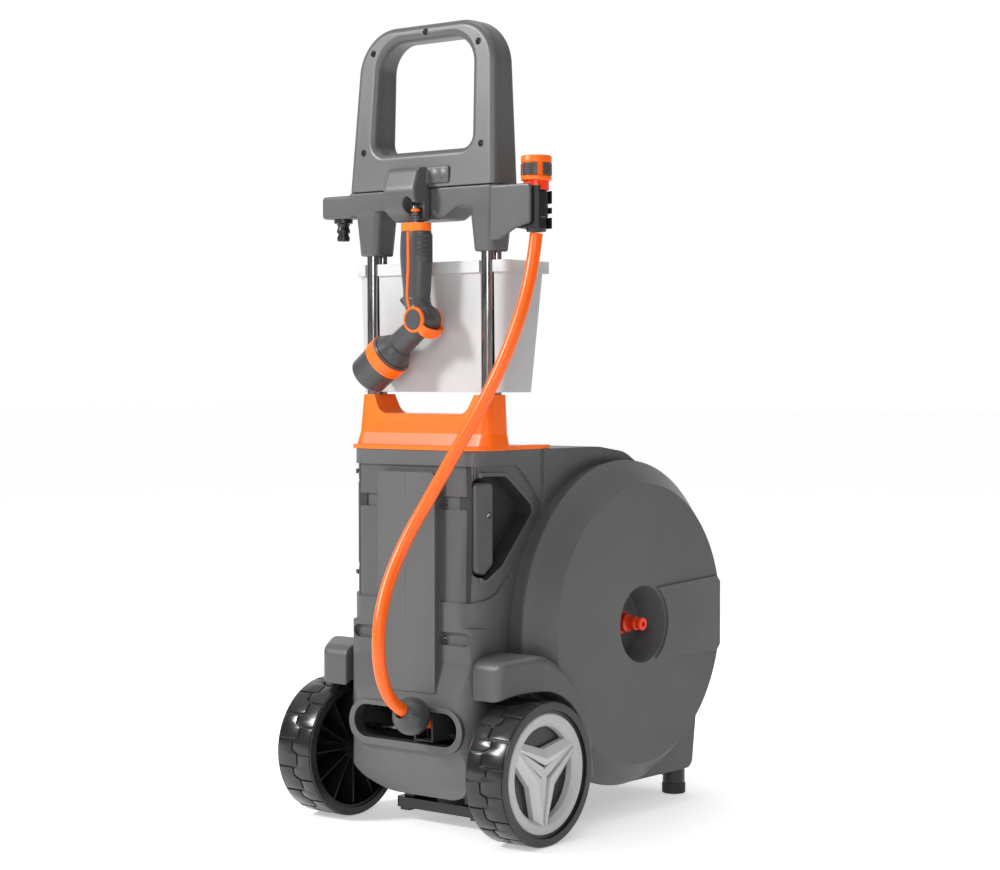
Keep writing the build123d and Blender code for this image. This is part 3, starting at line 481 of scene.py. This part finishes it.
# Painted shade: a thin near-black oval disc across the mouth of the gun boss's nipple pocket, standing in
# for the shade inside it.
bm = bmesh.new()
oval = Matrix.Translation(at(2, -30.6, 776)) @ Matrix.Rotation(math.radians(90), 4, "X")
oval = oval @ Matrix.Rotation(math.radians(20), 4, "Z")
oval = oval @ Matrix.Diagonal((8.3, 11.8, 1, 1)) @ Matrix.Scale(MM, 4)
lathe(bm, [(0.02, -0.4), (1.0, -0.4), (1.0, 0.4), (0.02, 0.4)], oval, 48)
piece("boss_pocket_painted_shade", to_mesh(bm, "boss_pocket_painted_shade"), "inner_plastic",
      "chassis")


# ---- flow lever ----------------------------------------------------------
def lever_mesh():
    """A flat ring on each side of the elbow and the rounded strap that joins them below."""
    bm = bmesh.new()
    face = Matrix.Translation(at(*ELBOW)) @ Matrix.Rotation(math.radians(90), 4, "X")
    ring = [(12.3, 15.8), (12.3, 18.8), (13.0, 19.6), (15.0, 19.6), (15.9, 18.6), (15.9, 15.8)]
    for side in (-1, 1):
        lathe(bm, [(r, side * h) for r, h in ring], face @ Matrix.Scale(MM, 4), 72)
    tilt = math.radians(44)
    down = Vector((math.cos(tilt), 0, -math.sin(tilt)))
    across = Vector((math.sin(tilt), 0, math.cos(tilt)))
    steps = 40
    loops = []
    for i in range(steps + 1):
        turn = math.pi * i / steps
        reach = abs(math.sin(turn)) ** 0.7
        middle = down * (13.5 + 12.8 * reach) + Vector((0, -17.6 * math.cos(turn), 0))
        outward = (down * math.sin(turn) + Vector((0, -math.cos(turn), 0))).normalized()
        half = 5.6 + 2.2 * reach
        section = [(-half, 0), (-half * 0.8, 1.5), (0, 2.1), (half * 0.8, 1.5), (half, 0),
                   (half * 0.8, -1.3), (-half * 0.8, -1.3)]
        centre = Vector(ELBOW) + middle
        loops.append([bm.verts.new(at(*(centre + across * w + outward * t))) for w, t in section])
    for here, after in zip(loops, loops[1:]):
        for j in range(7):
            k = (j + 1) % 7
            bm.faces.new((here[j], here[k], after[k], after[j]))
    for end in (loops[0], loops[-1]):
        bm.faces.new(end)
    return to_mesh(bm, "gun_lever_mesh", 45.0)


piece("gun_lever_mesh", lever_mesh(), "orange_plastic", "gun_flow_lever",
      ["gun_lever"])

# ---- hose connector ------------------------------------------------------
CONNECTOR = Matrix.Translation(at(164.5, 2.0, 0)) @ Matrix.Scale(MM, 4)
bm = bmesh.new()
lathe(bm, [(15.8, 801), (17.6, 801), (18.6, 802.2), (18.6, 806), (17.4, 807), (17.4, 822),
           (18.6, 823), (18.6, 829), (17.6, 831), (13, 831), (13, 827), (15.8, 826)], CONNECTOR)
sleeve = piece("connector_sleeve_mesh", to_mesh(bm, "connector_sleeve_mesh"), "orange_plastic",
      "sleeve", ["connector_sleeve"])


def knurled_pad(bm, middle, half):
    """Curved pad of small blocks round part of the sleeve."""
    for row in range(5):
        low = 807.4 + row * 2.9
        for k in range(-half, half + 1):
            corners = []
            for radius in (17.0, 18.9):
                for z in (low, low + 2.5):
                    for edge in (-2.6, 2.6):
                        turn = math.radians(middle + 6.2 * k + edge)
                        corners.append(bm.verts.new(CONNECTOR @ Vector(
                            (radius * math.cos(turn), radius * math.sin(turn), z))))
            for quad in ((0, 1, 3, 2), (4, 6, 7, 5), (0, 4, 5, 1), (2, 3, 7, 6), (0, 2, 6, 4),
                         (1, 5, 7, 3)):
                bm.faces.new([corners[i] for i in quad])


bm = bmesh.new()
for middle in (-82, 8, 98, 188):
    knurled_pad(bm, middle, 5)
pads = piece("connector_pads", to_mesh(bm, "connector_pads"), "gun_grey", "sleeve")

# ---- free hose -----------------------------------------------------------
HOSE_D = 0.016
HOSE_ROUTE = [
    (31.0, -51.0, 144.0),
    (34.0, -104.0, 163.0),
    (43.0, -143.0, 203.0),
    (44.0, -150.0, 260.0),
    (37.0, -128.0, 312.0),
    (43.0, -100.0, 368.0),
    (70.0, -82.0, 424.0),
    (104.0, -72.0, 482.0),
    (141.0, -57.0, 549.0),
    (161.0, -32.0, 622.0),
    (163.0, -4.0, 692.0),
    (164.5, 2.0, 738.0),
]

hose = smooth_curve("free_hose", [at(*p) for p in HOSE_ROUTE], HOSE_D / 2)
finish(hose, "hose_orange")
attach(hose, "chassis")
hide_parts("supply_hose")

LEAD = [at(30.6, -48.5, 143.2), at(28.5, -38, 140.5), at(26.6, -24, 138), at(26, -12, 137)]
lead = smooth_curve("hose_lead", LEAD, HOSE_D / 2 - 0.0003)
finish(lead, "hose_orange")
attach(lead, "hose_guide")

# ---- studio --------------------------------------------------------------
def sky():
    """White behind and above and dim elsewhere, so that glossy pieces have dark edges."""
    world = bpy.data.worlds.new("studio")
    world.use_nodes = True
    tree = world.node_tree
    coord = tree.nodes.new("ShaderNodeTexCoord")
    back = tree.nodes.new("ShaderNodeVectorMath")
    back.operation = "DOT_PRODUCT"
    back.inputs[1].default_value = (-0.629, 0.777, 0.0)
    up = tree.nodes.new("ShaderNodeSeparateXYZ")
    tree.links.new(coord.outputs["Generated"], back.inputs[0])
    tree.links.new(coord.outputs["Generated"], up.inputs[0])
    behind = ramp(tree, back.outputs["Value"], (DIM, DIM, DIM), (1, 1, 1), 0.45, 0.85)
    above = ramp(tree, up.outputs["Z"], (0, 0, 0), (0.8, 0.8, 0.8), 0.3, 0.85)
    both = tree.nodes.new("ShaderNodeMix")
    both.data_type = "RGBA"
    both.blend_type = "LIGHTEN"
    both.inputs["Factor"].default_value = 1.0
    tree.links.new(behind, both.inputs[6])
    tree.links.new(above, both.inputs[7])
    background = tree.nodes["Background"]
    tree.links.new(both.outputs[2], background.inputs["Color"])
    background.inputs["Strength"].default_value = 1.02
    bpy.context.scene.world = world


def studio():
    sky()
    bpy.context.scene.view_settings.view_transform = "Standard"
    mesh = bpy.data.meshes.new("floor")
    half = 30.0
    corners = [(-half, -half, 0), (half, -half, 0), (half, half, 0), (-half, half, 0)]
    mesh.from_pydata(corners, [], [(0, 1, 2, 3)])
    floor = bpy.data.objects.new("floor", mesh)
    bpy.context.collection.objects.link(floor)
    mat, tree, bsdf = shader_base("floor_paint", 0.7)
    color = ramp(tree, noise(tree, 3.0), (0.86, 0.86, 0.86), (0.88, 0.88, 0.88))
    tree.links.new(color, bsdf.inputs["Base Color"])
    bsdf.inputs["Emission Color"].default_value = (1, 1, 1, 1)
    bsdf.inputs["Emission Strength"].default_value = 0.42
    mesh.materials.append(mat)
    lamps = [
        ("key", (-1.5, -2.5, 2.1), 0.55, 86.0),
        ("fill", (1.9, -3.0, 1.3), 1.0, 26.0),
        ("top", (-0.2, 0.1, 3.2), 1.6, 22.0),
    ]
    for name, place, size, power in lamps:
        data = bpy.data.lights.new(name, "AREA")
        data.size = size
        data.energy = power
        lamp = bpy.data.objects.new(name, data)
        bpy.context.collection.objects.link(lamp)
        lamp.location = place
        aim = Vector((0, 0, 0.45)) - Vector(place)
        lamp.rotation_euler = aim.to_track_quat("-Z", "Y").to_euler()


def camera():
    data = bpy.data.cameras.new("photo_camera")
    data.sensor_width = 36.0
    data.lens = 79.2
    obj = bpy.data.objects.new("photo_camera", data)
    bpy.context.collection.objects.link(obj)
    obj.location = (1.79663, -2.26185, 0.56702)
    obj.rotation_euler = (math.radians(90 - 1.536), 0, math.radians(39.0))
    bpy.context.scene.camera = obj


studio()
camera()
